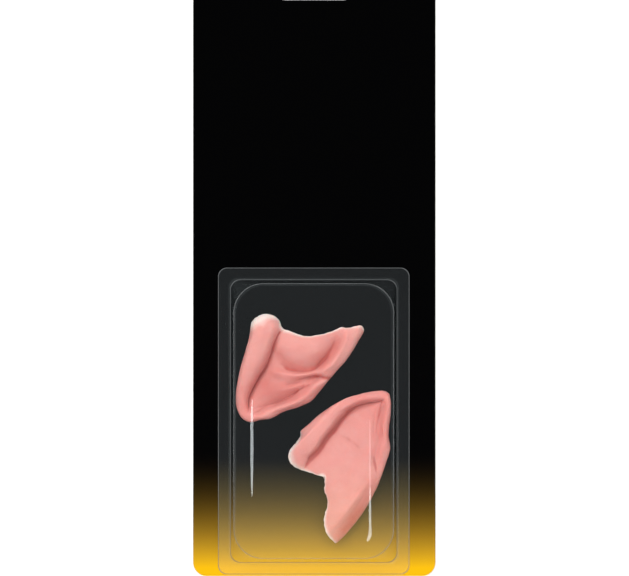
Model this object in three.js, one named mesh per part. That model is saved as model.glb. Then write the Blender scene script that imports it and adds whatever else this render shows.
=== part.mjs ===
// A pair of slip-on latex ear tips, sealed under a clear blister on a hanging card.
// Millimetres, +Z up: the card lies on its back, +X runs to its right and +Y up to the hanging slot.
// The origin is the middle of the card's back face.
import * as THREE from "three";

// Driving dimensions

const card = { width: 114.3, height: 292.1, thickness: 0.6, cornerRadius: 6.5 };

// The slot's lower edge is straight, and takes a flat or a round display hook.
const slot = { width: 33, height: 8, cornerRadius: 2.5, belowCardTop: 12.4 };

// The blister's flange lies flat on the card. Its dome stands on the foot outline.
const blister = {
  flangeWidth: 90.2,
  flangeHeight: 144.6,
  flangeRadius: 3.6,
  footWidth: 78.2,
  footHeight: 133,
  aboveCardBottom: 1.1,
  wall: 0.4,
  sealGap: 0.1,
};

// The dome's form from its foot to its flat top. inset is measured in from the foot's outline,
// radius is that outline's corner, and height is above the flange.
const domeProfile = [
  { inset: 0.0, radius: 3.8, height: 0.0 },
  { inset: 0.5, radius: 4.1, height: 0.7 },
  { inset: 1.6, radius: 13.0, height: 15.6 },
  { inset: 2.0, radius: 14.3, height: 16.9 },
  { inset: 3.1, radius: 14.0, height: 17.5 },
  { inset: 9.6, radius: 9.0, height: 19.0 },
  { inset: 10.8, radius: 8.0, height: 19.4 },
  { inset: 12.4, radius: 7.0, height: 19.5 },
];

const latex = {
  wall: 1.2,
  thinEdge: 0.8,
  thinReach: 0.14, // share of the ear's length over which the wall thins to its open edge
  edgeBevel: 0.012, // share of the length by which the inner skin stands past the outer one
  pocketEnd: 0.86, // share of the length at which the pocket closes
  backTrim: 0.05, // share of the length by which the back wall is cut shorter than the front
  restGap: 0.3,
};

const latexColour = 0xefa79c;
const boardColour = 0x0d0e10;
const filmColour = 0xdfe6e8;

// The ear tips
//
// Each ear lies face up. Its points are millimetres from its tip, along the card's X and Y.
// helixEdge and rimEdge run from the open base to the tip, and baseEdge joins their starts along
// the ragged mouth.
// A section crosses from the helix edge to the rim edge, at a share (along) of the way to the tip.
// In spans, crease and rimStart are shares of the section: the helix roll ends at the one and the
// rim starts at the other. In heights are the crowns of the roll and the rim, the floor between
// them, how far the floor dips at the crease (dip) and at the rim, and the two edges.
// A fold runs along a curve from one point to another, pulled towards a third. Its rise, negative for
// a crease, is given at both ends, and it fades over its width to either side.
// rings says how many sections are made up to each share of the length.

const rightEar = {
  name: "ear_tip_right",
  side: "right",
  tip: { x: -33.9, y: -71.8 },
  helixEdge: [
    { x: 4.0, y: 45.5 },
    { x: 3.3, y: 39.4 },
    { x: 1.4, y: 32.3 },
    { x: -0.5, y: 25.7 },
    { x: -2.1, y: 18.2 },
    { x: -3.1, y: 11.1 },
    { x: -2.8, y: 5.9 },
    { x: -1.9, y: 2.8 },
    { x: 0.0, y: 0.0 },
  ],
  rimEdge: [
    { x: 57.8, y: 41.8 },
    { x: 54.0, y: 35.2 },
    { x: 49.3, y: 27.6 },
    { x: 44.6, y: 22.4 },
    { x: 41.3, y: 18.6 },
    { x: 36.6, y: 13.0 },
    { x: 32.3, y: 7.8 },
    { x: 25.7, y: 5.2 },
    { x: 19.1, y: 3.1 },
    { x: 13.9, y: 0.2 },
    { x: 8.3, y: -0.7 },
    { x: 3.5, y: -1.8 },
    { x: 0.0, y: 0.0 },
  ],
  baseEdge: [
    { x: 4.0, y: 45.5 },
    { x: 5.9, y: 47.9 },
    { x: 9.7, y: 49.8 },
    { x: 13.9, y: 49.5 },
    { x: 17.7, y: 47.0 },
    { x: 19.1, y: 43.2 },
    { x: 22.4, y: 41.8 },
    { x: 30.0, y: 39.4 },
    { x: 37.5, y: 40.3 },
    { x: 43.7, y: 42.2 },
    { x: 47.0, y: 43.9 },
    { x: 49.8, y: 43.2 },
    { x: 56.4, y: 44.6 },
    { x: 57.8, y: 41.8 },
  ],
  spans: [
    { along: 0.0, crease: 0.35, rimStart: 0.8 },
    { along: 0.1, crease: 0.28, rimStart: 0.8 },
    { along: 0.2, crease: 0.265, rimStart: 0.78 },
    { along: 0.3, crease: 0.28, rimStart: 0.78 },
    { along: 0.42, crease: 0.28, rimStart: 0.83 },
    { along: 0.5, crease: 0.26, rimStart: 0.77 },
    { along: 0.65, crease: 0.25, rimStart: 0.71 },
    { along: 0.75, crease: 0.29, rimStart: 0.63 },
    { along: 0.85, crease: 0.41, rimStart: 0.56 },
    { along: 1.0, crease: 0.47, rimStart: 0.53 },
  ],
  heights: [
    { along: 0.0, roll: 8.8, floor: 9.2, rim: 9.0, dip: 0.6, rimDip: 0.4, rollEdge: 4.6, rimEdge: 4.4 },
    { along: 0.06, roll: 13.0, floor: 10.0, rim: 9.8, dip: 1.4, rimDip: 1.0, rollEdge: 5.8, rimEdge: 4.4 },
    { along: 0.15, roll: 14.6, floor: 10.3, rim: 10.2, dip: 2.2, rimDip: 1.8, rollEdge: 6.2, rimEdge: 4.2 },
    { along: 0.3, roll: 14.5, floor: 9.0, rim: 10.0, dip: 2.4, rimDip: 2.4, rollEdge: 6.0, rimEdge: 4.0 },
    { along: 0.42, roll: 13.7, floor: 8.4, rim: 9.5, dip: 2.6, rimDip: 1.4, rollEdge: 5.7, rimEdge: 3.9 },
    { along: 0.55, roll: 12.3, floor: 7.9, rim: 8.8, dip: 2.6, rimDip: 2.0, rollEdge: 5.2, rimEdge: 3.8 },
    { along: 0.72, roll: 9.8, floor: 6.5, rim: 8.0, dip: 2.0, rimDip: 1.6, rollEdge: 4.4, rimEdge: 3.6 },
    { along: 0.8, roll: 8.6, floor: 6.2, rim: 7.6, dip: 1.2, rimDip: 1.0, rollEdge: 4.1, rimEdge: 3.5 },
    { along: 0.87, roll: 7.7, floor: 7.7, rim: 7.6, dip: 0.0, rimDip: 0.0, rollEdge: 3.8, rimEdge: 3.5 },
    { along: 1.0, roll: 7.2, floor: 7.2, rim: 7.2, dip: 0.0, rimDip: 0.0, rollEdge: 3.5, rimEdge: 3.5 },
  ],
  // The fossa under the mouth, the ridge below it, and the creases and the swelling below that.
  folds: [
    { from: [20.1, 26.7], pull: [33.0, 18.0], to: [43.2, 34.7], width: 4.6, rise: [-1.6, -1.2] },
    { from: [15.3, 22.4], pull: [27.1, 17.2], to: [41.8, 26.2], width: 1.9, rise: [1.3, 0.8] },
    { from: [21.0, 15.8], pull: [32.6, 21.5], to: [42.4, 18.4], width: 1.3, rise: [-0.8, -3.2] },
    { from: [9.0, 5.6], pull: [20.3, 7.8], to: [32.3, 17.0], width: 1.4, rise: [-0.2, -0.8] },
    { from: [9.2, 10.6], pull: [20.1, 13.4], to: [30.0, 16.8], width: 3.0, rise: [0.5, 0.8] },
  ],
  rings: [
    { upTo: 0.34, count: 11 },
    { upTo: 0.56, count: 14 },
    { upTo: 0.86, count: 11 },
    { upTo: 1.0, count: 7 },
  ],
};

const leftEar = {
  name: "ear_tip_left",
  side: "left",
  tip: { x: 35.4, y: -60.2 },
  helixEdge: [
    { x: -42.4, y: -17.5 },
    { x: -37.4, y: -13.2 },
    { x: -32.7, y: -9.2 },
    { x: -27.0, y: -5.2 },
    { x: -20.9, y: -1.9 },
    { x: -14.8, y: 0.0 },
    { x: -9.1, y: 1.2 },
    { x: -3.9, y: 1.7 },
    { x: -1.6, y: 1.3 },
    { x: 0.0, y: 0.0 },
  ],
  rimEdge: [
    { x: -25.6, y: -71.0 },
    { x: -20.4, y: -66.1 },
    { x: -14.8, y: -59.5 },
    { x: -10.1, y: -52.4 },
    { x: -6.3, y: -45.3 },
    { x: -3.4, y: -38.2 },
    { x: -1.1, y: -31.1 },
    { x: 0.6, y: -25.5 },
    { x: -0.4, y: -19.8 },
    { x: 0.1, y: -14.2 },
    { x: 0.8, y: -6.6 },
    { x: 0.7, y: -2.8 },
    { x: 0.0, y: 0.0 },
  ],
  baseEdge: [
    { x: -42.4, y: -17.5 },
    { x: -42.6, y: -20.8 },
    { x: -45.0, y: -23.8 },
    { x: -47.6, y: -26.4 },
    { x: -48.3, y: -29.7 },
    { x: -46.9, y: -33.0 },
    { x: -43.6, y: -35.4 },
    { x: -37.4, y: -37.3 },
    { x: -34.1, y: -38.7 },
    { x: -31.0, y: -38.5 },
    { x: -31.0, y: -44.8 },
    { x: -29.5, y: -51.4 },
    { x: -31.5, y: -59.5 },
    { x: -29.9, y: -66.1 },
    { x: -25.6, y: -71.0 },
  ],
  spans: [
    { along: 0.0, crease: 0.36, rimStart: 0.9 },
    { along: 0.1, crease: 0.31, rimStart: 0.89 },
    { along: 0.2, crease: 0.26, rimStart: 0.88 },
    { along: 0.35, crease: 0.215, rimStart: 0.865 },
    { along: 0.5, crease: 0.18, rimStart: 0.83 },
    { along: 0.6, crease: 0.165, rimStart: 0.745 },
    { along: 0.7, crease: 0.19, rimStart: 0.63 },
    { along: 0.8, crease: 0.28, rimStart: 0.56 },
    { along: 0.87, crease: 0.39, rimStart: 0.55 },
    { along: 1.0, crease: 0.46, rimStart: 0.53 },
  ],
  heights: [
    { along: 0.0, roll: 7.5, floor: 8.6, rim: 7.6, dip: 0.5, rimDip: 0.0, rollEdge: 4.4, rimEdge: 4.0 },
    { along: 0.06, roll: 11.2, floor: 8.8, rim: 8.2, dip: 1.2, rimDip: 0.0, rollEdge: 5.4, rimEdge: 4.2 },
    { along: 0.15, roll: 12.6, floor: 8.8, rim: 8.2, dip: 1.8, rimDip: 0.0, rollEdge: 5.8, rimEdge: 4.2 },
    { along: 0.35, roll: 12.2, floor: 8.4, rim: 8.0, dip: 2.2, rimDip: 0.3, rollEdge: 5.6, rimEdge: 4.0 },
    { along: 0.5, roll: 11.2, floor: 7.8, rim: 7.8, dip: 2.4, rimDip: 0.6, rollEdge: 5.2, rimEdge: 3.9 },
    { along: 0.6, roll: 10.4, floor: 7.2, rim: 7.6, dip: 2.4, rimDip: 1.0, rollEdge: 4.8, rimEdge: 3.8 },
    { along: 0.7, roll: 9.6, floor: 6.6, rim: 7.4, dip: 2.2, rimDip: 1.2, rollEdge: 4.5, rimEdge: 3.7 },
    { along: 0.79, roll: 8.8, floor: 6.3, rim: 7.3, dip: 1.7, rimDip: 1.2, rollEdge: 4.2, rimEdge: 3.6 },
    { along: 0.85, roll: 8.2, floor: 6.5, rim: 7.2, dip: 0.8, rimDip: 0.6, rollEdge: 3.9, rimEdge: 3.5 },
    { along: 0.9, roll: 7.5, floor: 7.5, rim: 7.4, dip: 0.0, rimDip: 0.0, rollEdge: 3.7, rimEdge: 3.5 },
    { along: 1.0, roll: 7.0, floor: 7.0, rim: 7.0, dip: 0.0, rimDip: 0.0, rollEdge: 3.5, rimEdge: 3.5 },
  ],
  // The soft fold across the hollow, the wrinkle beside the rim and the low ridge down to the lobe.
  folds: [
    { from: [-25.6, -17.9], pull: [-16.7, -20.3], to: [-12.9, -32.1], width: 2.2, rise: [-0.6, -0.4] },
    { from: [-7.7, -27.4], pull: [-6.7, -33.5], to: [-4.9, -41.1], width: 1.5, rise: [-0.5, -0.8] },
    { from: [-10.1, -35.9], pull: [-13.4, -47.2], to: [-23.3, -59.9], width: 2.2, rise: [0.5, 0.3] },
  ],
  rings: [
    { upTo: 0.12, count: 5 },
    { upTo: 0.84, count: 22 },
    { upTo: 1.0, count: 9 },
  ],
};

// How finely the ears are divided: across the front and the back, and along the pocket.
const divisions = { roll: 12, floor: 20, rim: 9, back: 9, pocket: 11 };

// Shared shapes

// A closed skin over rings of equally many points. The first and the last ring are single points.
function skin(rings) {
  const points = rings.flat();
  const starts = [];
  let start = 0;
  for (const ring of rings) {
    starts.push(start);
    start += ring.length;
  }
  const vertex = (ring, i) => starts[ring] + (i % rings[ring].length);
  const index = [];
  for (let ring = 0; ring + 1 < rings.length; ring++) {
    const count = Math.max(rings[ring].length, rings[ring + 1].length);
    for (let i = 0; i < count; i++) {
      if (rings[ring + 1].length > 1)
        index.push(vertex(ring, i), vertex(ring + 1, i), vertex(ring + 1, i + 1));
      if (rings[ring].length > 1)
        index.push(vertex(ring, i), vertex(ring + 1, i + 1), vertex(ring, i + 1));
    }
  }
  return new THREE.BufferGeometry().setFromPoints(points).setIndex(index);
}

function roundedRectangle(path, width, height, radius) {
  const x = width / 2 - radius;
  const y = height / 2 - radius;
  path.absarc(x, y, radius, 0, Math.PI / 2);
  path.absarc(-x, y, radius, Math.PI / 2, Math.PI);
  path.absarc(-x, -y, radius, Math.PI, 1.5 * Math.PI);
  path.absarc(x, -y, radius, 1.5 * Math.PI, 2 * Math.PI);
  path.closePath();
  return path;
}

// Backing card

function backingCard() {
  const outline = roundedRectangle(new THREE.Shape(), card.width, card.height, card.cornerRadius);
  const slotOutline = roundedRectangle(new THREE.Path(), slot.width, slot.height, slot.cornerRadius);
  const slotY = card.height / 2 - slot.belowCardTop - slot.height / 2;
  const hole = new THREE.Path(slotOutline.getPoints(4).map((p) => new THREE.Vector2(p.x, p.y + slotY)));
  outline.holes.push(hole);
  return new THREE.ExtrudeGeometry(outline, {
    depth: card.thickness,
    bevelEnabled: false,
    curveSegments: 6,
  });
}

// Blister

function blisterRing(width, height, radius, z) {
  const cornerSteps = 8;
  const centreX = width / 2 - radius;
  const centreY = height / 2 - radius;
  const corners = [
    { x: centreX, y: centreY, start: 0 },
    { x: -centreX, y: centreY, start: 0.5 * Math.PI },
    { x: -centreX, y: -centreY, start: Math.PI },
    { x: centreX, y: -centreY, start: 1.5 * Math.PI },
  ];
  const ring = [];
  for (const corner of corners) {
    for (let step = 0; step <= cornerSteps; step++) {
      const angle = corner.start + (step / cornerSteps) * (Math.PI / 2);
      const x = corner.x + radius * Math.cos(angle);
      const y = corner.y + radius * Math.sin(angle);
      ring.push(new THREE.Vector3(x, y, z));
    }
  }
  return ring;
}

function domeRing(row, wall) {
  const width = blister.footWidth - 2 * (row.inset + wall);
  const height = blister.footHeight - 2 * (row.inset + wall);
  return blisterRing(width, height, Math.max(row.radius - wall, 1), row.height + blister.wall - wall);
}

function blisterShell() {
  const top = domeProfile.at(-1).height + blister.wall;
  const { flangeWidth, flangeHeight, flangeRadius, wall } = blister;
  const outside = domeProfile.map((row) => domeRing(row, 0));
  const inside = domeProfile.map((row) => domeRing(row, wall));
  return skin([
    [new THREE.Vector3(0, 0, top)],
    ...outside.reverse(),
    blisterRing(flangeWidth, flangeHeight, flangeRadius, wall),
    blisterRing(flangeWidth, flangeHeight, flangeRadius, 0),
    ...inside,
    [new THREE.Vector3(0, 0, top - wall)],
  ]);
}

// Ear tips

const splineThrough = (rows) => new THREE.SplineCurve(rows.map((row) => new THREE.Vector2(row.x, row.y)));

// A table's columns at any place along the ear.
function tableReader(rows) {
  const columns = Object.keys(rows[0]).filter((name) => name !== "along");
  const values = rows.flatMap((row) => columns.map((name) => row[name]));
  const places = rows.map((row) => row.along);
  const between = new THREE.CubicInterpolant(places, values, columns.length);
  return (along) => {
    const found = between.evaluate(along);
    return Object.fromEntries(columns.map((name, i) => [name, found[i]]));
  };
}

// How far the folds raise the front at a point.
function foldReader(folds) {
  const foldSteps = 24;
  const traced = folds.map((fold) => {
    const curve = new THREE.QuadraticBezierCurve(
      new THREE.Vector2(...fold.from),
      new THREE.Vector2(...fold.pull),
      new THREE.Vector2(...fold.to),
    );
    return { ...fold, points: curve.getPoints(foldSteps) };
  });
  return (point) => {
    let rise = 0;
    for (const fold of traced) {
      const distances = fold.points.map((p) => p.distanceTo(point));
      const nearest = Math.min(...distances);
      const share = distances.indexOf(nearest) / foldSteps;
      const height = THREE.MathUtils.lerp(...fold.rise, share);
      rise += height * Math.exp(-((nearest / fold.width) ** 2));
    }
    return rise;
  };
}

const arch = (q) => Math.sqrt(Math.max(0, 1 - (2 * q - 1) ** 2));
const cosineSpaced = (i, count) => (1 - Math.cos((Math.PI * i) / count)) / 2;

// Places across the front of a section, dense where the roll and the rim turn over.
function frontPlaces(section, inset) {
  const creaseAt = section.crease - inset;
  const rimAt = section.rimStart + inset;
  const places = [];
  for (let i = 0; i < divisions.roll; i++) {
    const q = cosineSpaced(i, divisions.roll);
    places.push({ across: THREE.MathUtils.lerp(inset, creaseAt, q), part: "roll", q });
  }
  for (let i = 0; i < divisions.floor; i++) {
    const q = i / divisions.floor;
    places.push({ across: THREE.MathUtils.lerp(creaseAt, rimAt, q), part: "floor", q });
  }
  for (let i = 0; i <= divisions.rim; i++) {
    const u = i / divisions.rim;
    const q = u < 0.5 ? u : 0.5 + 0.5 * Math.sin(Math.PI * (u - 0.5));
    places.push({ across: THREE.MathUtils.lerp(rimAt, 1 - inset, q), part: "rim", q });
  }
  return places;
}

// Height of the front skin at one place, without folds. drop is the wall when it is the inner skin.
function frontHeight(section, place, drop) {
  const creaseZ = section.floor - section.dip - drop;
  const rimFootZ = section.floor - section.rimDip - drop;
  const { q } = place;
  if (place.part === "roll") {
    const foot = q < 0.5 ? section.rollEdge : creaseZ;
    return foot + (section.roll - drop - foot) * arch(q);
  }
  if (place.part === "rim") {
    const foot = q < 0.5 ? rimFootZ : section.rimEdge;
    const shape = q < 0.5 ? 0.5 - 0.5 * Math.cos(2 * Math.PI * q) : arch(q);
    return foot + (section.rim - drop - foot) * shape;
  }
  const creaseReach = 0.16;
  const rimReach = 0.2;
  const creaseDip = section.dip * Math.exp(-q / creaseReach);
  const rimDip = section.rimDip * Math.exp((q - 1) / rimReach);
  return section.floor - drop - creaseDip - rimDip;
}

// The ear's outer and inner skins, as one closed shell with its mouth open at the base.
function earShell(ear) {
  const helix = splineThrough(ear.helixEdge);
  const rim = splineThrough(ear.rimEdge);
  const base = splineThrough(ear.baseEdge);
  const spanAt = tableReader(ear.spans);
  const heightAt = tableReader(ear.heights);
  const sectionAt = (along) => ({ ...spanAt(along), ...heightAt(along) });
  const foldRise = foldReader(ear.folds);
  const helixStart = base.getPoint(0);
  const rimStart = base.getPoint(1);
  const baseFade = 1.6; // how quickly the mouth's outline fades from the sections after it
  const tipRound = 0.1; // share of the length over which the tip rounds off
  const pocketRound = 0.3; // share of the pocket's length over which its end rounds off
  const pocketMiddle = 0.45; // where across the section the pocket closes

  const planPoint = (across, along) => {
    const straight = helixStart.clone().lerp(rimStart, across);
    const ragged = base.getPointAt(across).sub(straight).multiplyScalar((1 - along) ** baseFade);
    return helix.getPointAt(along).lerp(rim.getPointAt(along), across).add(ragged);
  };

  // closing brings the front and back walls together, and narrowing the two sides.
  const ring = (along, wall, closing, narrowing) => {
    const section = sectionAt(along);
    const length = helix.getPointAt(along).distanceTo(rim.getPointAt(along));
    const inset = wall / Math.max(length, 6 * wall);
    const squeeze = (across) => THREE.MathUtils.lerp(pocketMiddle, across, narrowing);
    const middle = (across) => THREE.MathUtils.lerp(section.rollEdge, section.rimEdge, across);
    const points = frontPlaces(section, inset).map((place) => {
      const plan = planPoint(squeeze(place.across), along);
      const held = Math.min(1, 12 * place.across * (1 - place.across));
      const folds = foldRise(plan) * held * (wall ? 0.7 : 1);
      const rise = frontHeight(section, place, wall) + folds - middle(place.across);
      return new THREE.Vector3(plan.x, plan.y, middle(place.across) + rise * closing);
    });
    for (let i = 1; i < divisions.back; i++) {
      const q = cosineSpaced(i, divisions.back);
      const across = THREE.MathUtils.lerp(1 - inset, inset, q);
      const trimmed = along + (1 - along) ** 3 * latex.backTrim * arch(q);
      const plan = planPoint(squeeze(across), trimmed);
      const flatness = (1 - Math.abs(2 * q - 1) ** 4) ** 0.5;
      const fall = (middle(across) - wall) * flatness;
      points.push(new THREE.Vector3(plan.x, plan.y, middle(across) - fall * closing));
    }
    return ear.side === "right" ? points.reverse() : points;
  };

  const tipPoint = new THREE.Vector3(0, 0, ear.heights.at(-1).rollEdge);
  const outer = [];
  let from = latex.edgeBevel;
  for (const { upTo, count } of ear.rings) {
    for (let i = 0; i < count; i++) {
      const along = THREE.MathUtils.lerp(from, upTo, i / count);
      const intoTip = Math.max(0, (along - 1 + tipRound) / tipRound);
      outer.push(ring(along, 0, Math.sqrt(1 - intoTip ** 2), 1));
    }
    from = upTo;
  }
  const inner = [];
  for (let i = 0; i < divisions.pocket; i++) {
    const share = i / divisions.pocket;
    const along = share * latex.pocketEnd;
    const thinning = Math.min(1, along / latex.thinReach);
    const wall = THREE.MathUtils.lerp(latex.thinEdge, latex.wall, thinning);
    const intoEnd = Math.max(0, (share - 1 + pocketRound) / pocketRound);
    const closing = Math.sqrt(1 - intoEnd ** 2);
    inner.push(ring(along, wall, closing, closing));
  }
  const endPlan = planPoint(pocketMiddle, latex.pocketEnd);
  const endSection = sectionAt(latex.pocketEnd);
  const endZ = THREE.MathUtils.lerp(endSection.rollEdge, endSection.rimEdge, pocketMiddle);
  const pocketEnd = new THREE.Vector3(endPlan.x, endPlan.y, endZ);
  return skin([[tipPoint], ...outer.reverse(), ...inner, [pocketEnd]]);
}

// Assembly

const film = new THREE.MeshStandardMaterial({
  color: filmColour,
  roughness: 0.08,
  metalness: 0,
  transparent: true,
  opacity: 0.2,
});
const board = new THREE.MeshStandardMaterial({ color: boardColour, roughness: 0.45, metalness: 0 });
const skinLatex = new THREE.MeshStandardMaterial({ color: latexColour, roughness: 0.55, metalness: 0 });

function named(name, geometry, material) {
  const mesh = new THREE.Mesh(geometry, material);
  mesh.name = name;
  return mesh;
}

const pack = new THREE.Group();
pack.add(named("backing_card", backingCard(), board));

const blisterMesh = named("blister", blisterShell(), film);
const blisterY = -card.height / 2 + blister.aboveCardBottom + blister.flangeHeight / 2;
blisterMesh.position.set(0, blisterY, card.thickness + blister.sealGap);
pack.add(blisterMesh);

for (const ear of [rightEar, leftEar]) {
  const mesh = named(ear.name, earShell(ear), skinLatex);
  mesh.position.set(ear.tip.x, ear.tip.y, card.thickness + latex.restGap);
  pack.add(mesh);
}

export default pack;
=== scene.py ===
import math

import bmesh
import bpy
import numpy as np
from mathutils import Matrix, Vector, noise
from mathutils.bvhtree import BVHTree


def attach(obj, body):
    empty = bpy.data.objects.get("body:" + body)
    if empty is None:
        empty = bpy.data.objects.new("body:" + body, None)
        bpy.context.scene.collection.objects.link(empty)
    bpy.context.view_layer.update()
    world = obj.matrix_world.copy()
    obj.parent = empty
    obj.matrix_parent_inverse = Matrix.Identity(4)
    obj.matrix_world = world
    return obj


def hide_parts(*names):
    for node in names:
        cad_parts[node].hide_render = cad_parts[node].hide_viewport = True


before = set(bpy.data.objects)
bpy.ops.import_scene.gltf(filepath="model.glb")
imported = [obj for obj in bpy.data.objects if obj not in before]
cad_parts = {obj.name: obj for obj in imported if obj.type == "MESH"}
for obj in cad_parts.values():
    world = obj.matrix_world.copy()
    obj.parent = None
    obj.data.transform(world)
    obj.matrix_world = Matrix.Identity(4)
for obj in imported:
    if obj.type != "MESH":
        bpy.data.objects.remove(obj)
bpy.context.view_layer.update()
mm = 0.001
print("frame loaded:", ", ".join(sorted(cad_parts)))


# One output socket of a material. Sums and products on it add Math nodes.
class Wire:
    def __init__(self, tree, socket=None):
        self.tree = tree
        self.socket = socket

    def add(self, kind, settings=None, inputs=None, out=0):
        node = self.tree.nodes.new(kind)
        for name, value in (settings or {}).items():
            setattr(node, name, value)
        for name, value in (inputs or {}).items():
            if isinstance(value, Wire):
                self.tree.links.new(value.socket, node.inputs[name])
            else:
                node.inputs[name].default_value = value
        return Wire(self.tree, node.outputs[out] if node.outputs else None)

    def math(self, operation, *values):
        return self.add("ShaderNodeMath", {"operation": operation}, dict(enumerate(values)))

    def __add__(self, other):
        return self.math("ADD", self, other)

    def __radd__(self, other):
        return self.math("ADD", other, self)

    def __sub__(self, other):
        return self.math("SUBTRACT", self, other)

    def __rsub__(self, other):
        return self.math("SUBTRACT", other, self)

    def __mul__(self, other):
        return self.math("MULTIPLY", self, other)

    def __rmul__(self, other):
        return self.math("MULTIPLY", other, self)

    def __pow__(self, other):
        return self.math("POWER", self, other)

    # 0 at low and 1 at high, eased at both ends
    def between(self, low, high, easing="SMOOTHSTEP"):
        settings = {"interpolation_type": easing}
        return self.add("ShaderNodeMapRange", settings, {"Value": self, "From Min": low, "From Max": high})

    # the same, up to a strength
    def zone(self, low, high, strength):
        return self.between(low, high) * strength

    # the colour first where this is 0, and second where it is 1
    def mix(self, first, second):
        return self.add("ShaderNodeMix", {"data_type": "RGBA"}, {0: self, 6: first, 7: second}, out=2)


def newMaterial(name):
    material = bpy.data.materials.new(name)
    material.use_nodes = True
    material.node_tree.nodes.clear()
    return material, Wire(material.node_tree).add("ShaderNodeTexCoord", out="Object")


def noiseAt(place, size, detail=2.0, roughness=0.5):
    inputs = {"Vector": place, "Scale": 1 / size, "Detail": detail, "Roughness": roughness}
    return place.add("ShaderNodeTexNoise", inputs=inputs)


def attributeOf(place, name):
    return place.add("ShaderNodeAttribute", {"attribute_name": name}, out="Fac")


def bumpFrom(height, distance):
    inputs = {"Height": height, "Distance": distance, "Strength": 1.0}
    return height.add("ShaderNodeBump", inputs=inputs)


def setSurface(shader):
    shader.add("ShaderNodeOutputMaterial", inputs={"Surface": shader})


def pick(*pieces):
    bpy.ops.object.select_all(action="DESELECT")
    for piece in pieces:
        piece.select_set(True)
    bpy.context.view_layer.objects.active = pieces[0]


def applyModifier(piece, name, kind, **settings):
    modifier = piece.modifiers.new(name, kind)
    for setting, value in settings.items():
        setattr(modifier, setting, value)
    pick(piece)
    bpy.ops.object.modifier_apply(modifier=name)


# Camera, straight above the card
cameraLook = {
    "lens": 300,
    "sensor": 36,
    "middle": (0.1, -10.2),  # mm on the card
    "seenWidth": 296.8,      # mm across the picture
    "farthest": 100,         # m that it sees
}

distance = cameraLook["seenWidth"] * cameraLook["lens"] / cameraLook["sensor"] * mm
middleX, middleY = cameraLook["middle"]
bpy.ops.object.camera_add(location=(middleX * mm, middleY * mm, distance))
camera = bpy.context.active_object
camera.name = "camera"
camera.rotation_euler = (0, 0, 0)
camera.data.lens = cameraLook["lens"]
camera.data.sensor_width = cameraLook["sensor"]
camera.data.clip_end = cameraLook["farthest"]
bpy.context.scene.camera = camera
print("camera at", round(distance, 3), "m")


# Backing card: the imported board, with its print, its pale core and its plain back
cardLook = {
    "ink": (0.0006, 0.0006, 0.0007, 1),
    "gold": (0.74, 0.405, 0.004, 1),
    "paleGold": (0.74, 0.405, 0.037, 1),  # where it fades
    "core": (0.62, 0.58, 0.50, 1),
    "coreFibre": (0.42, 0.37, 0.30, 1),
    "back": (0.44, 0.40, 0.345, 1),
    "backFleck": (0.30, 0.26, 0.21, 1),
    "fade": (-81.9, -142.3),     # mm up the card: black above the first, gold below the second
    "fadePower": 3.7,
    "grain": 0.35,               # mm: size of the print's grain
    "goldGrain": 0.07,           # how much it shows in the gold
    "fibre": 0.9,                # mm: size of the board's fibres
    "fibreStretch": (1, 0.3, 1),
    "coreZone": (0.35, 0.7, 0.5),
    "fleckZone": (0.60, 0.72),
    "waves": 38,                 # mm: the board's slow waves
    "frontFrom": (0.52, 0.57),   # mm up through the board
    "backFrom": (0.05, 0.02),
    "boardRoughness": 0.86,
    "printSheen": (0.44, 0.06),  # how much smoother the print is, and what its grain takes off
    "relief": (0.10, 0.02, 0.04),  # mm: height of the waves, and the shares of grain and fibre
    "shine": 0.02,
}

cardBoard, place = newMaterial("cardBoard")
axes = [place.add("ShaderNodeSeparateXYZ", inputs={"Vector": place}, out=axis) for axis in "XYZ"]
grain = noiseAt(place, cardLook["grain"] * mm, 3)
lengthwise = place.add("ShaderNodeMapping", inputs={"Vector": place, "Scale": cardLook["fibreStretch"]})
fibre = noiseAt(lengthwise, cardLook["fibre"] * mm, 4, 0.7)
waves = noiseAt(place, cardLook["waves"] * mm, 1)
start, end = cardLook["fade"]
gold = axes[1].between(start * mm, end * mm, "LINEAR") ** cardLook["fadePower"]
leaf = gold.mix(cardLook["paleGold"], cardLook["gold"])
goldGrain = cardLook["goldGrain"]
ink = (gold * (1 - goldGrain / 2 + goldGrain * grain)).mix(cardLook["ink"], leaf)
back = fibre.between(*cardLook["fleckZone"]).mix(cardLook["back"], cardLook["backFleck"])
core = fibre.zone(*cardLook["coreZone"]).mix(cardLook["core"], cardLook["coreFibre"])
front = axes[2].between(*(edge * mm for edge in cardLook["frontFrom"]))
rear = axes[2].between(*(edge * mm for edge in cardLook["backFrom"]))
colour = rear.mix(front.mix(core, ink), back)
sheen, grainSheen = cardLook["printSheen"]
rough = cardLook["boardRoughness"] - front * (sheen - grainSheen * grain)
relief, grainShare, fibreShare = cardLook["relief"]
bump = bumpFrom(waves + grain * grainShare + fibre * fibreShare, relief * mm)
setSurface(place.add("ShaderNodeBsdfPrincipled", inputs={
    "Base Color": colour, "Roughness": rough, "Normal": bump, "Specular IOR Level": cardLook["shine"],
}))
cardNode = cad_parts["backing_card"]
cardNode.material_slots[0].material = cardBoard
print("card dressed")


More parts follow.
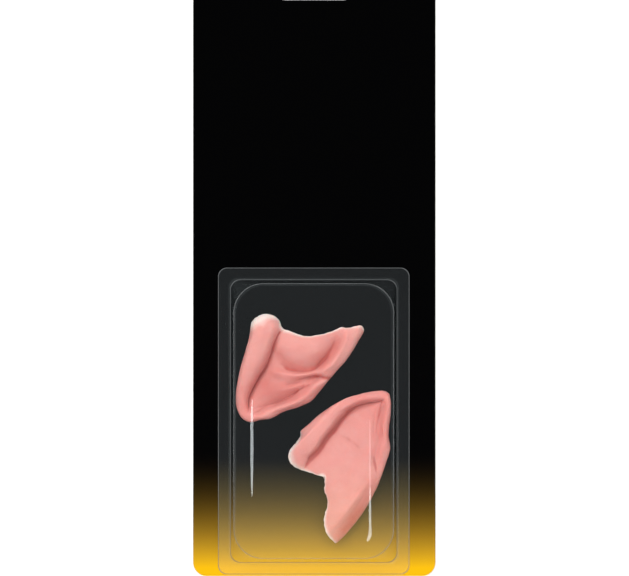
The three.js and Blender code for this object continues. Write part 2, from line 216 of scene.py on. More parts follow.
# Clear blister: flange, drafted wall, rounded shoulder and slightly crowned top
blisterLook = {
    "flange": (90.2, 144.6, 4.1),  # mm: width, height, corner radius
    "foot": (78.2, 133.0),         # mm: width and height of the dome at the flange
    "middle": (-0.25, -72.95),     # mm on the card
    "underside": 0.7,              # mm over the card's back
    "film": 0.3,                   # mm thick
    "cornerSteps": 16,
    # mm: in from the foot, height, corner radius there, how much more in at the lower end,
    # and how far each bend is rounded
    "section": [
        (0.0, 0.0, 4.6, 0.0, 0.7),
        (1.45, 18.2, 14.0, 1.0, 1.0),
        (11.9, 19.35, 6.2, -2.5, 2.6),
        (17.0, 19.4, 5.6, -2.5, 1.0),
        (24.0, 19.4, 5.0, -2.5, 0.0),
    ],
    "milky": [1.0, 0.85, 0.0, 0.0],      # at each bend
    "milkyWall": [0.02, 0.0, 0.0, 0.0],  # and on the wall after it
    "innerMilk": 0.03,                   # most that the inner side has
    "slight": 0.05,                      # share that all of a bend has
    "milkPeak": 5.0,                     # the higher, the thinner the white line in a bend
    "edgeRing": 0.07,                    # share of the flange that lies outside its first ring
    "newRing": 0.05,                     # mm: a ring's inset before it goes to its place
    "support": (0.25, 0.15),             # mm: extra rings outside each bend
    "bendSteps": 8,
    "longSide": 20,                      # mm: sides longer than this are divided
    "sideCuts": 19,
    "wallCuts": 5,
    "smoothAngle": 40,
}


# rows (in, height, radius, lower end, milkiness) along the section, with its bends rounded
def sectionRows(look):
    corners = [np.array(row[:4]) for row in look["section"]]
    rounding = [row[4] for row in look["section"]]
    outside = np.array([(look["foot"][0] - look["flange"][0]) / 2, 0.0, look["flange"][2], 0.0])
    support, beyond = look["support"]
    rows = [(*(outside + (corners[0] - outside) * look["edgeRing"]), 0.0)]
    for i in range(len(corners) - 1):
        before = corners[i - 1] if i else outside
        point, after = corners[i], corners[i + 1]
        inward = (before - point) / np.hypot(*(before - point)[:2])
        onward = (after - point) / np.hypot(*(after - point)[:2])
        reach, spare = rounding[i], rounding[i] + support
        slight = look["slight"] * look["milky"][i]
        rows.append((*(point + inward * (spare + beyond)), look["milkyWall"][i - 1] if i else 0.0))
        rows.append((*(point + inward * spare), slight))
        start, end = point + inward * reach, point + onward * reach
        for step in range(look["bendSteps"] + 1):
            t = step / look["bendSteps"]
            bent = (1 - t) ** 2 * start + 2 * t * (1 - t) * point + t ** 2 * end
            rows.append((*bent, max(slight, look["milky"][i] * (1 - look["milkPeak"] * abs(t - 0.5)))))
        away = point + onward * spare
        hazeAndReflection = look["milkyWall"][i]
        rows.append((*away, hazeAndReflection))
        ahead = after - onward * (rounding[i + 1] + support)
        for cut in range(look["wallCuts"]):
            rows.append((*(away + (ahead - away) * (cut + 1) / (look["wallCuts"] + 1)), hazeAndReflection))
    rows.append((*corners[-1], 0.0))
    return rows


def makeBlister(look):
    width, height, radius = look["flange"]
    top = look["underside"] + look["film"]
    middleX, middleY = look["middle"]
    bpy.ops.object.select_all(action="DESELECT")
    bpy.ops.mesh.primitive_plane_add(size=1, location=(middleX * mm, middleY * mm, top * mm))
    piece = bpy.context.active_object
    piece.name = "clear_blister"
    piece.scale = (width * mm, height * mm, 1)
    bpy.ops.object.transform_apply(location=True, rotation=True, scale=True)
    bpy.ops.object.mode_set(mode="EDIT")
    bpy.ops.mesh.select_all(action="SELECT")
    bpy.ops.mesh.bevel(offset=radius * mm, segments=look["cornerSteps"], affect="VERTICES")
    bpy.ops.mesh.select_mode(type="EDGE")
    edit = bmesh.from_edit_mesh(piece.data)
    for edge in edit.edges:
        edge.select_set(edge.calc_length() > look["longSide"] * mm)
    bpy.ops.mesh.subdivide(number_cuts=look["sideCuts"])
    bpy.ops.mesh.select_mode(type="FACE")
    bpy.ops.mesh.select_all(action="SELECT")
    edit = bmesh.from_edit_mesh(piece.data)
    milky = edit.verts.layers.float.new("milky")
    # each vertex of the outline: its share of the straight sides, and its arm in the corner's arc
    halves = (width / 2 - radius, height / 2 - radius)
    turns = []
    for vertex in next(iter(edit.faces)).verts:
        spot = (vertex.co.x / mm - middleX, vertex.co.y / mm - middleY)
        sides = [max(-1, min(1, p / half)) for p, half in zip(spot, halves)]
        arms = [(p - side * half) / radius for p, side, half in zip(spot, sides, halves)]
        turns.append((sides, arms))
        vertex[milky] = 1.0  # the cut edge
    for inset, rise, corner, lower, milkiness in sectionRows(look):
        bpy.ops.mesh.inset(thickness=look["newRing"] * mm)
        edit = bmesh.from_edit_mesh(piece.data)
        milky = edit.verts.layers.float["milky"]
        face = next(f for f in edit.faces if f.select)
        outY = inset * (height - look["foot"][1]) / (width - look["foot"][0]) if inset < 0 else inset
        halfX = look["foot"][0] / 2 - inset - corner
        halfY = look["foot"][1] / 2 - outY - corner - lower / 2
        for vertex, (sides, arms) in zip(face.verts, turns):
            vertex.co.x = (middleX + sides[0] * halfX + arms[0] * corner) * mm
            vertex.co.y = (middleY + lower / 2 + sides[1] * halfY + arms[1] * corner) * mm
            vertex.co.z = (top + rise) * mm
            vertex[milky] = milkiness
        bmesh.update_edit_mesh(piece.data)
    bpy.ops.object.mode_set(mode="OBJECT")
    outside = len(piece.data.vertices)
    applyModifier(piece, "film", "SOLIDIFY", thickness=look["film"] * mm, offset=-1, use_even_offset=True)
    for value in list(piece.data.attributes["milky"].data)[outside:]:  # bends whiten on the outside only
        value.value = min(value.value, look["innerMilk"])
    bpy.ops.object.shade_smooth_by_angle(angle=math.radians(look["smoothAngle"]))
    return piece


blister = makeBlister(blisterLook)

filmLook = {
    "tint": (0.992, 0.995, 0.996, 1),
    "gloss": (0.92, 0.98, 1.0, 1),
    "milk": (0.125, 0.13, 0.132, 1),   # bends and cut edge
    # colour of the painted gold glow at the film's lower end
    "goldGlowTone": (0.99, 0.80, 0.25, 1),
    # colour of the film's haze, which also carries its painted reflection of the room
    "hazeAndReflectionTone": (0.72, 0.83, 0.86, 1),
    "roughness": (0.012, 0.25, 0.30),  # of the film, its wall and its bends
    "faceOn": 0.045,                   # share reflected straight back, at each side of the film
    "grazing": (0.22, 5),              # share added at a low angle, and how late it comes
    "wallDull": 0.95,                  # what the wall loses of it, seen from above
    "aslant": (0.35, 0.65),            # where the wall counts as seen from above
    "bendMilk": 0.90,                  # how solid the bends and the cut edge look
    "bendFrom": 0.01,                  # milkiness at which a bend is rough
    "hazeAndReflection": (0.0034, 0.0150),          # all of the film, and its wall: a lit veil that is the film's faint haze and a painted reflection of the room
    "lowGoldGlow": 0.041,                   # and a painted gold glow at the lower end of the film
    "goldGlow": (-90.0, -127.0),            # mm up the card: clear above the first, full below the second
    "scuff": 1.4,                      # mm: size of the scuffs
    "scuffStretch": (1, 0.1, 1),
    "scuffZone": (0.58, 0.85),
    "scuffGloss": 0.004,
    "scuffRoughness": 0.03,
    "least": 0.0001,                   # keeps a share from being divided by nothing
}
clearFilm, place = newMaterial("clearFilm")
facing = place.add("ShaderNodeLayerWeight", inputs={"Blend": 0.5}, out="Facing")
milky = attributeOf(place, "milky")
upCard = place.add("ShaderNodeSeparateXYZ", inputs={"Vector": place}, out="Y")
goldGlowTop, goldGlowEnd = filmLook["goldGlow"]
# painted light: a gold-tinted lit veil that brightens the gold print seen through the film's lower end
goldGlow = upCard.between(goldGlowTop * mm, goldGlowEnd * mm, "LINEAR") * filmLook["lowGoldGlow"]
bend = milky.between(blisterLook["innerMilk"], 1.0, "LINEAR")
wall = milky.between(0.0, blisterLook["milkyWall"][0])
bent = bend.between(0.0, filmLook["bendFrom"])
# the film's faint haze and a painted reflection of the room, stronger on the wall, whose gloss is dulled
# when seen from above
clearHazeAndReflection, wallHazeAndReflection = filmLook["hazeAndReflection"]
hazeAndReflection = clearHazeAndReflection + wall * (1 - bent) * (wallHazeAndReflection - clearHazeAndReflection)
# share of the lit veil: milky bends and cut edge, the haze with its painted reflection of the room, and the
# painted gold glow
milk = bend * filmLook["bendMilk"] + hazeAndReflection + goldGlow
lengthwise = place.add("ShaderNodeMapping", inputs={"Vector": place, "Scale": filmLook["scuffStretch"]})
scuff = noiseAt(lengthwise, filmLook["scuff"] * mm, 3, 0.6).between(*filmLook["scuffZone"])
grazing, grazingPower = filmLook["grazing"]
gloss = filmLook["faceOn"] + filmLook["scuffGloss"] * scuff + grazing * facing ** grazingPower
gloss = gloss * (1 - filmLook["wallDull"] * wall * facing.between(*filmLook["aslant"]))
share = (milk + gloss).math("MINIMUM", milk + gloss, 1.0)
veilShare = milk.math("DIVIDE", milk, share)
someMilk = milk + filmLook["least"]
# the veil's colour: milk in the bends, painted gold glow, and haze with its painted reflection
veilTone = milk.math("DIVIDE", goldGlow, someMilk).mix(filmLook["milk"], filmLook["goldGlowTone"])
veilTone = milk.math("DIVIDE", hazeAndReflection, someMilk).mix(veilTone, filmLook["hazeAndReflectionTone"])
filmRough, wallRough, bendRough = filmLook["roughness"]
rough = filmRough + wall * (wallRough - filmRough) + bent * (bendRough - wallRough)
rough = rough + filmLook["scuffRoughness"] * scuff
shine = place.add("ShaderNodeBsdfPrincipled", inputs={
    "Base Color": filmLook["gloss"], "Metallic": 1.0, "Roughness": rough,
})
veil = place.add("ShaderNodeBsdfPrincipled", inputs={"Base Color": veilTone, "Roughness": rough})
solid = veilShare.add("ShaderNodeMixShader", inputs={0: veilShare, 1: shine, 2: veil})
clear = place.add("ShaderNodeBsdfTransparent", inputs={"Color": filmLook["tint"]})
setSurface(share.add("ShaderNodeMixShader", inputs={0: share, 1: clear, 2: solid}))
blister.data.materials.append(clearFilm)
blister.visible_shadow = False  # clear film leaves no shadow
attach(blister, "root")
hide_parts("blister")
print("blister made:", len(blister.data.polygons), "faces")


# Latex ear tips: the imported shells, merged, smoothed and folded
rightLook = {
    "node": "ear_tip_right",
    "piece": "ear_tip_right_latex",
    # the open edge, and how far its pale band reaches, mm: the thin latex's paler tone with a painted
    # highlight
    "mouth": [
        (-29.9, -26.3, 3.2), (-28.0, -23.9, 4.6), (-24.2, -22.0, 4.6), (-20.0, -22.3, 2.8),
        (-16.2, -24.8, 1.2), (-14.8, -28.6, 1.6), (-11.5, -30.0, 1.5), (-3.9, -32.4, 1.0),
        (3.6, -31.5, 0.9), (9.8, -29.6, 1.0), (13.1, -27.9, 1.3), (15.9, -28.6, 0.8),
        (22.5, -27.2, 1.7), (23.9, -30.0, 1.0),
    ],
    # mm: how far apart the cut edge's teeth are, and how long
    "ragged": (1.9, 0.25),
    # a fold's widths left and right of its path, and the path with its rise (crease below 0), mm
    "folds": {
        "roll": (1.8, 1.8, [
            (-19.4, -27.5, 0.4), (-20.3, -33.3, 0.6), (-22.2, -38.0, 0.4), (-23.6, -42.8, 0.0),
        ]),
        "rollCrease": (1.0, 1.3, [
            (-16.0, -29.0, -0.2), (-17.6, -34.7, -0.7), (-19.5, -39.4, -1.0), (-20.9, -44.2, -1.2),
            (-23.1, -48.7, -1.4), (-26.4, -53.3, -1.4), (-28.7, -57.7, -1.3), (-30.5, -62.2, -1.0),
            (-31.1, -66.5, -0.4), (-31.3, -69.0, 0.0),
        ]),
        "hollowWall": (4.6, 0.8, [
            (-16.2, -45.0, 0.0), (-13.8, -47.5, -0.6), (-11.5, -48.9, -1.0), (-6.7, -49.6, -1.3),
            (-2.0, -49.4, -1.4), (0.3, -48.2, -1.4), (2.7, -46.5, -1.4), (5.0, -44.2, -1.3),
            (7.4, -40.4, -1.0), (8.8, -37.1, -0.5), (10.0, -33.0, 0.0),
        ]),
        "hollowRidge": (1.1, 1.2, [
            (-18.1, -49.8, 0.0), (-11.5, -50.8, 0.5), (-6.7, -51.1, 0.7), (-2.0, -50.6, 0.7),
            (2.7, -49.4, 0.7), (7.4, -47.0, 0.7), (9.8, -44.2, 0.6), (12.1, -40.4, 0.6),
            (14.5, -35.7, 0.5), (15.2, -31.0, 0.4),
        ]),
        "rimCut": (0.8, 1.0, [
            (-9.5, -54.0, 0.0), (-6.7, -53.1, -0.6), (-2.0, -51.9, -1.2), (1.2, -51.7, -1.1),
            (2.7, -51.8, -0.4), (5.0, -52.4, -0.2), (8.4, -53.0, -0.6),
        ]),
        "rimCutBranch": (0.7, 1.2, [
            (-14.5, -55.6, 0.0), (-9.1, -55.0, -0.6), (-6.7, -54.4, -0.6), (-2.5, -53.2, -0.3),
        ]),
        "floorSwell": (2.0, 1.8, [
            (-23.3, -58.3, 0.0), (-16.2, -58.0, 0.4), (-11.5, -57.1, 0.5), (-5.0, -55.9, 0.3),
        ]),
        "rimCrease": (3.0, 0.9, [
            (-29.5, -67.0, 0.0), (-26.6, -66.5, -0.5), (-23.3, -65.6, -1.0), (-18.5, -64.0, -1.5),
            (-13.8, -62.1, -1.6), (-9.1, -59.7, -1.4), (-6.7, -57.9, -1.0), (-3.9, -56.4, -0.5),
            (-1.0, -55.4, 0.0),
        ]),
        "rim": (1.4, 1.3, [
            (-22.0, -68.6, 0.2), (-11.5, -65.4, 0.7), (-4.4, -61.5, 0.6), (2.2, -56.2, 0.6),
            (6.0, -54.6, 0.3),
        ]),
    },
    # rosy painted shade in hollows, creases and shaded flanks, partly the latex's own redder tone: width,
    # and the path with its strength
    "rosyShadeTints": {
        "hollowSide": (3.1, [
            (12.5, -33.0, 0.3), (9.8, -38.5, 1.0), (6.5, -43.0, 0.9), (2.5, -46.5, 0.7),
        ]),
        "hollowFloor": (2.6, [
            (2.5, -46.5, 0.6), (-3.0, -48.3, 0.8), (-9.0, -47.6, 0.85), (-14.5, -44.5, 0.8),
            (-17.5, -40.0, 0.6),
        ]),
        "floor": (6.0, [
            (-18.0, -50.0, 0.4), (-22.0, -57.0, 0.75), (-16.0, -58.0, 0.7), (-6.0, -56.0, 0.6),
        ]),
        "rimCut": (0.8, [(-2.0, -52.0, 0.5), (2.7, -51.9, 1.3), (5.0, -52.4, 1.4), (8.4, -53.0, 1.4)]),
        "rollSide": (2.4, [
            (-18.6, -34.0, 0.4), (-21.4, -43.0, 0.6), (-27.0, -52.5, 0.7), (-30.5, -60.5, 0.6),
            (-31.5, -67.0, 0.3),
        ]),
    },
}
leftLook = {
    "node": "ear_tip_left",
    "piece": "ear_tip_left_latex",
    "mouth": [
        (-7.0, -77.7, 0.7), (-7.2, -81.0, 0.7), (-9.6, -84.0, 0.9), (-12.2, -86.6, 2.2),
        (-12.9, -89.9, 2.9), (-11.5, -93.2, 2.7), (-8.2, -95.6, 2.0), (-2.0, -97.5, 1.2),
        (1.3, -98.9, 1.0), (4.4, -98.7, 1.0), (4.4, -105.0, 0.8), (5.9, -111.6, 0.6),
        (3.9, -119.7, 1.5), (5.5, -126.3, 1.7), (9.8, -131.2, 1.2),
    ],
    "ragged": (1.5, 0.6),
    # the roll is filled out to its crease: the crease's path, with the roll's height over it
    "shoulder": [
        (-4.9, -94.7, 6.0), (-2.0, -91.8, 10.2), (0.3, -89.0, 11.9), (2.7, -86.2, 12.8),
        (5.0, -82.4, 13.0), (7.4, -79.1, 12.9), (9.8, -76.3, 12.7), (12.1, -73.4, 12.3),
        (14.5, -70.6, 11.8), (16.8, -68.2, 11.2), (21.6, -65.6, 9.6), (26.3, -64.3, 7.0),
    ],
    "folds": {
        "rollCrease": (0.8, 1.2, [
            (-4.9, -94.7, 0.0), (-2.0, -91.8, -0.4), (0.3, -89.0, -0.6), (2.7, -86.2, -0.7),
            (5.0, -82.4, -0.9), (7.4, -79.1, -1.0), (9.8, -76.3, -1.1), (12.1, -73.4, -1.2),
            (14.5, -70.6, -1.2), (16.8, -68.2, -1.2), (21.6, -65.6, -1.0), (26.3, -64.3, -0.9),
            (31.0, -63.2, -0.5),
        ]),
        "rimCrease": (0.6, 0.7, [
            (31.5, -63.5, -0.4), (31.0, -67.8, -0.7), (30.1, -72.5, -0.7), (29.6, -77.2, -0.6),
            (30.1, -85.2, 0.0),
        ]),
        "innerCrease": (0.6, 0.6, [
            (29.2, -66.0, 0.0), (28.4, -72.0, -0.4), (28.0, -78.0, -0.4), (28.3, -84.0, 0.0),
        ]),
        "rim": (0.8, 0.8, [
            (33.6, -64.0, 0.2), (34.0, -72.0, 0.4), (34.0, -80.0, 0.3), (33.6, -88.0, 0.0),
        ]),
        "sideWrinkle": (0.7, 0.8, [
            (27.7, -88.0, 0.0), (28.6, -93.0, -0.5), (29.1, -96.1, -0.5), (30.5, -100.8, 0.0),
        ]),
        "floorWrinkle": (2.2, 1.2, [
            (9.8, -78.1, 0.0), (14.5, -81.0, -0.25), (17.8, -82.9, -0.25), (21.6, -86.2, -0.25),
            (24.0, -93.4, 0.0),
        ]),
        "shallow": (1.6, 2.2, [(7.5, -85.5, 0.0), (12.0, -88.2, -0.25), (16.0, -90.5, 0.0)]),
        "lobeRidge": (1.6, 1.6, [
            (27.0, -97.0, 0.0), (24.0, -104.0, 0.5), (17.5, -111.8, 0.5), (12.1, -119.7, 0.0),
        ]),
        "lobeFurrow": (1.0, 1.4, [
            (23.5, -95.0, 0.0), (24.8, -100.0, -0.3), (22.5, -103.5, -0.2), (17.0, -109.0, 0.0),
        ]),
        "lobeEdge": (3.0, 4.5, [
            (33.5, -88.0, 0.0), (31.0, -96.0, -0.8), (26.3, -108.8, -1.6), (20.6, -117.3, -2.3),
            (14.5, -124.4, -2.0), (10.0, -130.0, -0.6),
        ]),
    },
    # rosy painted shade, partly the latex's own redder tone: width, and the path with its strength
    "rosyShadeTints": {
        "lobeEdge": (3.6, [
            (29.5, -101.0, 0.4), (25.5, -109.0, 0.9), (20.0, -117.0, 1.3), (15.0, -124.0, 1.2),
            (12.0, -128.0, 0.8),
        ]),
        "rimSide": (3.0, [
            (31.5, -66.0, 0.4), (31.0, -74.0, 0.5), (31.0, -82.0, 0.4), (30.0, -90.0, 0.3),
        ]),
        "rollSide": (2.0, [
            (-1.5, -90.0, 0.4), (4.0, -82.8, 0.6), (11.2, -73.2, 0.7), (20.0, -65.2, 0.6),
            (30.0, -63.0, 0.4),
        ]),
    },
}
latexLook = {
    "tone": (0.755, 0.328, 0.292, 1),
    "blushAndFlankShade": (0.72, 0.258, 0.230, 1),
    "paleAndHighlight": (0.78, 0.41, 0.355, 1),
    "rosyShade": (0.58, 0.148, 0.125, 1),
    "hollowShade": (0.46, 0.085, 0.070, 1),
    "paleEdgeAndHighlight": (0.95, 0.75, 0.68, 1),
    # where a tint lies between two values of what it follows, and its strength
    "inZone": (8 * mm, 38 * mm, 0.45),      # blush: in from the mouth
    "steepZone": (0.25, 0.8, 0.5),          # and painted shade on the steep flanks
    "blotchZone": (0.35, 0.7, 0.35),        # and blush in patches
    "mottleZone": (0.5, 0.8, 0.45),         # pale, at random
    "crestZone": (0.05, 0.6, 0.18),         # and painted highlight on raised skin
    "valleyZone": (0.1, 1.0, 0.25),         # painted shade, in wide hollows
    "hollowZone": (0.06, 0.7, 0.7),         # and in creases
    "bandZone": (0.05, 0.5, 0.35),          # the thin edge's paler tone with a painted highlight, along the mouth
    "edgeZone": (0.4, 0.85, 0.5),           # and at its edge
    "patchyRose": 0.5,                      # share of the rosy painted shade that is patchy
    "blotch": 9,                            # mm: sizes of patches, mottle, pores and fine grain
    "mottle": 1.7,
    "pore": 0.75,
    "fine": 0.4,
    "roughness": (0.50, 0.12, 0.1),         # of the skin, and what mottle and mouth add
    "relief": (0.20, 0.35, 0.25, 0.7),      # mm in all, and the shares of pores, fine grain and mottle
    "shine": 0.35,
    "glow": 0.45,                           # share of the light that goes into the latex
    "glowRadius": (1.0, 0.32, 0.22),        # how far each colour goes
    "glowReach": 2.6,                       # mm
    "shoulder": (1.9, 5.0, 6.5, 0.5, 1.2),  # mm: flank's width, its drop, reach over the roll, swell, wall
    "shoulderFade": 0.4,                    # share of that reach over which it ends
    "shoulderEase": (3, 9, 2, 25),          # mm: smoothed from, to, over the last, and how many rounds
    "crease": (1.5, 1.2),                   # mm: folds below this width are creases, and how crisp
    "ragReach": 0.8,                        # mm in from the mouth
    "lumps": [(6.0, 0.20), (2.2, 0.08)],    # mm: how far apart, how high
    "hollow": (12, 0.35, 2),                # rounds of levelling, mm at full depth, rounds of softening
    "valley": (120, 1.6, 4),
    "steepSoft": 2,
    "merge": 0.001,                         # mm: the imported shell's points closer than this are one
    "quadAngles": (70, 80),                 # degrees within which its triangles pair up
    "levels": 2,                            # of subdivision
}


# a smooth line through the given points
def smoothPath(points, steps=8):
    rows = [np.array(points[0], float) * 2 - points[1]] + [np.array(p, float) for p in points]
    rows.append(rows[-1] * 2 - rows[-2])
    line = []
    for a, b, c, d in zip(rows, rows[1:], rows[2:], rows[3:]):
        for step in range(steps):
            t = step / steps
            square = 2 * a - 5 * b + 4 * c - d
            cube = 3 * b - a - 3 * c + d
            line.append(0.5 * (2 * b + (c - a) * t + square * t ** 2 + cube * t ** 3))
    line.append(rows[-2])
    return np.array(line)


def readVectors(values, name):
    found = np.empty(len(values) * 3, np.float32)
    values.foreach_get(name, found)
    return found.reshape(-1, 3).astype(float)


def writePlaces(piece, places):
    piece.data.vertices.foreach_set("co", places.astype(np.float32).ravel())
    piece.data.update()


def setAttribute(piece, name, values):
    attribute = piece.data.attributes.new(name, "FLOAT", "POINT")
    attribute.data.foreach_set("value", values.astype(np.float32))


def groupWeights(piece, name):
    index = piece.vertex_groups[name].index
    weights = np.zeros(len(piece.data.vertices))
    for vertex in piece.data.vertices:
        for group in vertex.groups:
            if group.group == index:
                weights[vertex.index] = group.weight
    return weights


# each value becomes the mean of its neighbours, several times over
def spread(piece, values, rounds):
    edges = np.empty(len(piece.data.edges) * 2, int)
    piece.data.edges.foreach_get("vertices", edges)
    first, second = edges.reshape(-1, 2).T
    count = np.bincount(edges, minlength=len(values)).astype(float)
    if values.ndim > 1:
        count = count[:, None]
    for _ in range(rounds):
        total = np.zeros_like(values)
        np.add.at(total, first, values[second])
        np.add.at(total, second, values[first])
        values = total / count
    return values


# how far each place is from a line, seen from above, the line's nearest point,
# and whether the place is to the line's left
def pathGaps(places, line):
    gaps = np.hypot(places[:, None, 0] - line[None, :, 0], places[:, None, 1] - line[None, :, 1])
    nearest = gaps.argmin(axis=1)
    course = np.gradient(line, axis=0)[nearest]
    aside = places - line[nearest]
    onLeft = course[:, 0] * aside[:, 1] > course[:, 1] * aside[:, 0]
    return gaps[np.arange(len(places)), nearest], nearest, onLeft


# how many skins a ray upwards meets, four at most
def skinsAbove(tree, place):
    up = Vector((0, 0, 1))
    lift, step, most = 0.05, 0.02, 4
    count = 0
    found = tree.ray_cast(place + up * lift * mm, up)[0]
    while found and count < most:
        count += 1
        found = tree.ray_cast(found + up * step * mm, up)[0]
    return count


# how far each place lies under its surroundings, from -1 to 1
def sunken(piece, places, normals, rounds, full, soften):
    under = ((spread(piece, places, rounds) - places) * normals).sum(axis=1) / mm
    return spread(piece, np.clip(under / full, -1, 1), soften)


def makeEar(look):
    piece = bpy.data.objects.new(look["piece"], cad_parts[look["node"]].data.copy())
    bpy.context.scene.collection.objects.link(piece)
    piece.data.materials.clear()
    pick(piece)
    bpy.ops.object.mode_set(mode="EDIT")
    bpy.ops.mesh.select_all(action="SELECT")
    bpy.ops.mesh.customdata_custom_splitnormals_clear()
    bpy.ops.mesh.remove_doubles(threshold=latexLook["merge"] * mm)
    faceAngle, shapeAngle = (math.radians(angle) for angle in latexLook["quadAngles"])
    bpy.ops.mesh.tris_convert_to_quads(face_threshold=faceAngle, shape_threshold=shapeAngle)
    bpy.ops.object.mode_set(mode="OBJECT")
    # the front wall has at most one skin over it, its own outer one
    tree = BVHTree.FromObject(piece, bpy.context.evaluated_depsgraph_get())
    skins = [skinsAbove(tree, v.co) for v in piece.data.vertices]
    for name, most in (("front", 1), ("outer", 0)):
        chosen = [i for i, count in enumerate(skins) if count <= most]
        piece.vertex_groups.new(name=name).add(chosen, 1.0, "REPLACE")
    levels = latexLook["levels"]
    applyModifier(piece, "smooth", "SUBSURF", levels=levels, render_levels=levels)
    places = readVectors(piece.data.vertices, "co")
    frontShare = groupWeights(piece, "front")
    inner = frontShare - groupWeights(piece, "outer")
    piece.vertex_groups.clear()
    if "shoulder" in look:
        flank, drop, reach, swell, wall = (size * mm for size in latexLook["shoulder"])
        line = smoothPath(look["shoulder"]) * mm
        gap, nearest, onLeft = pathGaps(places, line)
        crown = line[nearest, 2] + swell * np.clip(gap / reach, 0, 1)
        filled = crown - drop * np.exp(-(gap / flank) ** 2) - wall * inner
        run = latexLook["shoulderFade"]
        fade = np.clip(1 + run - gap / reach, 0, run) / run
        places[:, 2] += np.clip(filled - places[:, 2], 0, None) * fade * onLeft * frontShare
        easeFrom, easeTo, easeRun, rounds = latexLook["shoulderEase"]
        eased = np.clip(gap / mm - easeFrom, 0, 1) * np.clip((easeTo - gap / mm) / easeRun, 0, 1)
        places[:, 2] += (spread(piece, places[:, 2], rounds) - places[:, 2]) * eased * onLeft * frontShare
    # folds, crisp where they are creases and round where they are ridges
    creaseWidth, crispness = latexLook["crease"]
    rise = np.zeros(len(places))
    for leftWidth, rightWidth, points in look["folds"].values():
        line = smoothPath(points) * mm
        gap, nearest, onLeft = pathGaps(places, line)
        height = line[nearest, 2]
        share = gap / (np.where(onLeft, leftWidth, rightWidth) * mm)
        crisp = (height < 0) & (min(leftWidth, rightWidth) < creaseWidth)
        rise += height * np.where(crisp, np.exp(-share ** crispness), np.exp(-share ** 2))
    places[:, 2] += rise * frontShare
    # lumps of the casting, and the ragged cut at the mouth
    edge = smoothPath(look["mouth"]) * mm
    gap, nearest, _ = pathGaps(places, edge)
    mouth = np.exp(-(gap / edge[nearest, 2]) ** 2)
    size, depth = look["ragged"]
    rag = np.array([noise.noise(Vector((x, y, 0)) / (size * mm)) for x, y, _ in places])
    across = np.cross(np.gradient(edge, axis=0)[nearest] * (1, 1, 0), (0, 0, 1))
    across /= np.linalg.norm(across, axis=1)[:, None]
    places += across * (rag * depth * mm * np.exp(-(gap / (latexLook["ragReach"] * mm)) ** 2))[:, None]
    normals = readVectors(piece.data.vertex_normals, "vector")
    for size, depth in latexLook["lumps"]:
        lump = np.array([noise.noise(Vector(spot) / (size * mm)) for spot in places])
        places += normals * (lump * depth * mm)[:, None]
    writePlaces(piece, places)
    normals = readVectors(piece.data.vertex_normals, "vector")
    # how sunken each place is: painted shade in creases and wide hollows, painted highlight on raised skin
    setAttribute(piece, "hollow", sunken(piece, places, normals, *latexLook["hollow"]))
    setAttribute(piece, "valley", sunken(piece, places, normals, *latexLook["valley"]))
    # rosy painted shade along the given paths, partly the latex's own redder tone
    rosyShade = np.zeros(len(places))
    for width, points in look["rosyShadeTints"].values():
        line = smoothPath(points)
        away, nearest, _ = pathGaps(places / mm, line)
        rosyShade = np.maximum(rosyShade, line[nearest, 2] * np.exp(-(away / width) ** 2))
    setAttribute(piece, "rosyShade", rosyShade)
    setAttribute(piece, "mouth", mouth)
    setAttribute(piece, "depth", gap)
    # how steep the skin is, for the painted shade on the flanks
    setAttribute(piece, "steep", spread(piece, 1 - normals[:, 2], latexLook["steepSoft"]))
    bpy.ops.object.shade_smooth()
    return piece


ears = [makeEar(look) for look in (rightLook, leftLook)]

latexSkin, place = newMaterial("latexSkin")
names = ("hollow", "valley", "mouth", "depth", "steep", "rosyShade")
hollow, valley, mouth, depth, steep, rosyShade = (attributeOf(place, name) for name in names)
blotch = noiseAt(place, latexLook["blotch"] * mm, 2)
mottle = noiseAt(place, latexLook["mottle"] * mm, 3, 0.6)
poreInputs = {"Vector": place, "Scale": 1 / (latexLook["pore"] * mm), "Randomness": 1.0}
pore = place.add("ShaderNodeTexVoronoi", inputs=poreInputs, out="Distance")
fine = noiseAt(place, latexLook["fine"] * mm, 3, 0.6)
# blush in from the mouth and in patches, and painted shade on the steep flanks
flushAndFlankShade = depth.zone(*latexLook["inZone"]) + steep.zone(*latexLook["steepZone"])
flushAndFlankShade = flushAndFlankShade + blotch.zone(*latexLook["blotchZone"])
colour = flushAndFlankShade.math("MINIMUM", flushAndFlankShade, 1.0).mix(latexLook["tone"], latexLook["blushAndFlankShade"])
colour = mottle.zone(*latexLook["mottleZone"]).mix(colour, latexLook["paleAndHighlight"])
patchyRose = latexLook["patchyRose"]
# rosy painted shade in hollows, creases and shaded flanks, partly the latex's own redder tone, patchy in
# part
colour = (rosyShade * (1 - patchyRose + patchyRose * blotch)).mix(colour, latexLook["rosyShade"])
# painted shade in wide hollows and in creases
colour = valley.zone(*latexLook["valleyZone"]).mix(colour, latexLook["hollowShade"])
colour = hollow.zone(*latexLook["hollowZone"]).mix(colour, latexLook["hollowShade"])
# painted highlight on raised skin
colour = (0 - hollow).zone(*latexLook["crestZone"]).mix(colour, latexLook["paleAndHighlight"])
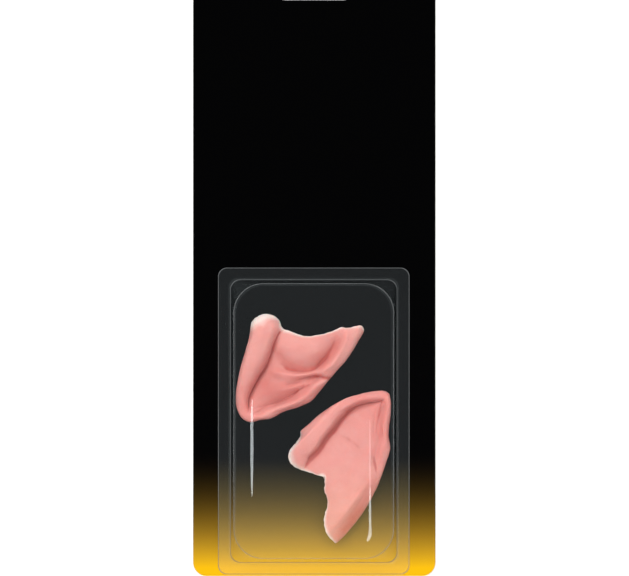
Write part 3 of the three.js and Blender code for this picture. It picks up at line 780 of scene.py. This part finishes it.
# pale band along the cut edge: the thin latex's paler tone and a painted highlight where the edge catches
# the light
paleEdgeAndHighlight = mouth.zone(*latexLook["bandZone"]) + mouth.zone(*latexLook["edgeZone"])
colour = paleEdgeAndHighlight.mix(colour, latexLook["paleEdgeAndHighlight"])
skinRough, mottleRough, mouthRough = latexLook["roughness"]
rough = skinRough + mottleRough * (mottle - 0.5) + mouthRough * mouth
relief, poreShare, fineShare, mottleShare = latexLook["relief"]
bump = bumpFrom(pore * poreShare + fine * fineShare + mottle * mottleShare, relief * mm)
setSurface(place.add("ShaderNodeBsdfPrincipled", inputs={
    "Base Color": colour, "Roughness": rough, "Normal": bump, "Specular IOR Level": latexLook["shine"],
    "Subsurface Weight": latexLook["glow"], "Subsurface Radius": latexLook["glowRadius"],
    "Subsurface Scale": latexLook["glowReach"] * mm,
}))
for ear, look in zip(ears, (rightLook, leftLook)):
    ear.data.materials.append(latexSkin)
    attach(ear, "root")
    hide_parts(look["node"])
    print(ear.name, "made:", len(ear.data.polygons), "faces")


# Floor, lights and world
studio = {
    "floor": (0.92, 0.92, 0.92, 1),
    "floorSize": 6,       # m
    "floorDrop": 0.15,    # mm under the card
    "floorRoughness": 0.8,
    "floorShine": 0.2,
    "world": 0.12,
    "worldTone": (0.97, 1.0, 1.03, 1),
    "aim": (0, -70 * mm, 0),
    "lamps": [
        # name, place in m, size in m, watts
        ("key", (-0.90, 1.90, 1.40), (3.4, 3.4), 69.0),
        ("top", (-0.20, 0.10, 2.00), (3.2, 3.2), 55.0),
        ("fill", (1.60, -0.90, 1.30), (1.8, 1.8), 16.0),
    ],
    "glints": [
        ("glintLeft", (-0.125, -0.100, 0.50), (0.026, 0.055), 0.0166),
        ("glintRight", (0.073, -0.164, 0.50), (0.028, 0.084), 0.0195),
        ("glintRightTail", (0.073, -0.147, 0.51), (0.024, 0.126), 0.0085),
    ],
}

bpy.ops.object.select_all(action="DESELECT")
bpy.ops.mesh.primitive_plane_add(size=studio["floorSize"], location=(0, 0, -studio["floorDrop"] * mm))
floor = bpy.context.active_object
floor.name = "floor"
paleFloor, place = newMaterial("paleFloor")
setSurface(place.add("ShaderNodeBsdfPrincipled", inputs={
    "Base Color": studio["floor"],
    "Roughness": studio["floorRoughness"],
    "Specular IOR Level": studio["floorShine"],
}))
floor.data.materials.append(paleFloor)

for shape, lamps in (("RECTANGLE", studio["lamps"]), ("ELLIPSE", studio["glints"])):
    for name, spot, size, watts in lamps:
        bpy.ops.object.light_add(type="AREA", location=spot)
        lamp = bpy.context.active_object
        lamp.name = name
        lamp.data.shape = shape
        lamp.data.size, lamp.data.size_y = size
        lamp.data.energy = watts
        if lamps is studio["lamps"]:  # the glints hang straight down, and they alone show in the film
            lamp.visible_glossy = False
            lamp.rotation_euler = (Vector(studio["aim"]) - Vector(spot)).to_track_quat("-Z", "Y").to_euler()

world = bpy.data.worlds.new("studioWorld")
world.use_nodes = True
sky = world.node_tree.nodes["Background"]
sky.inputs["Color"].default_value = studio["worldTone"]
sky.inputs["Strength"].default_value = studio["world"]
bpy.context.scene.world = world
bpy.context.scene.view_settings.view_transform = "Standard"
bpy.context.scene.view_settings.look = "None"
print("studio set")
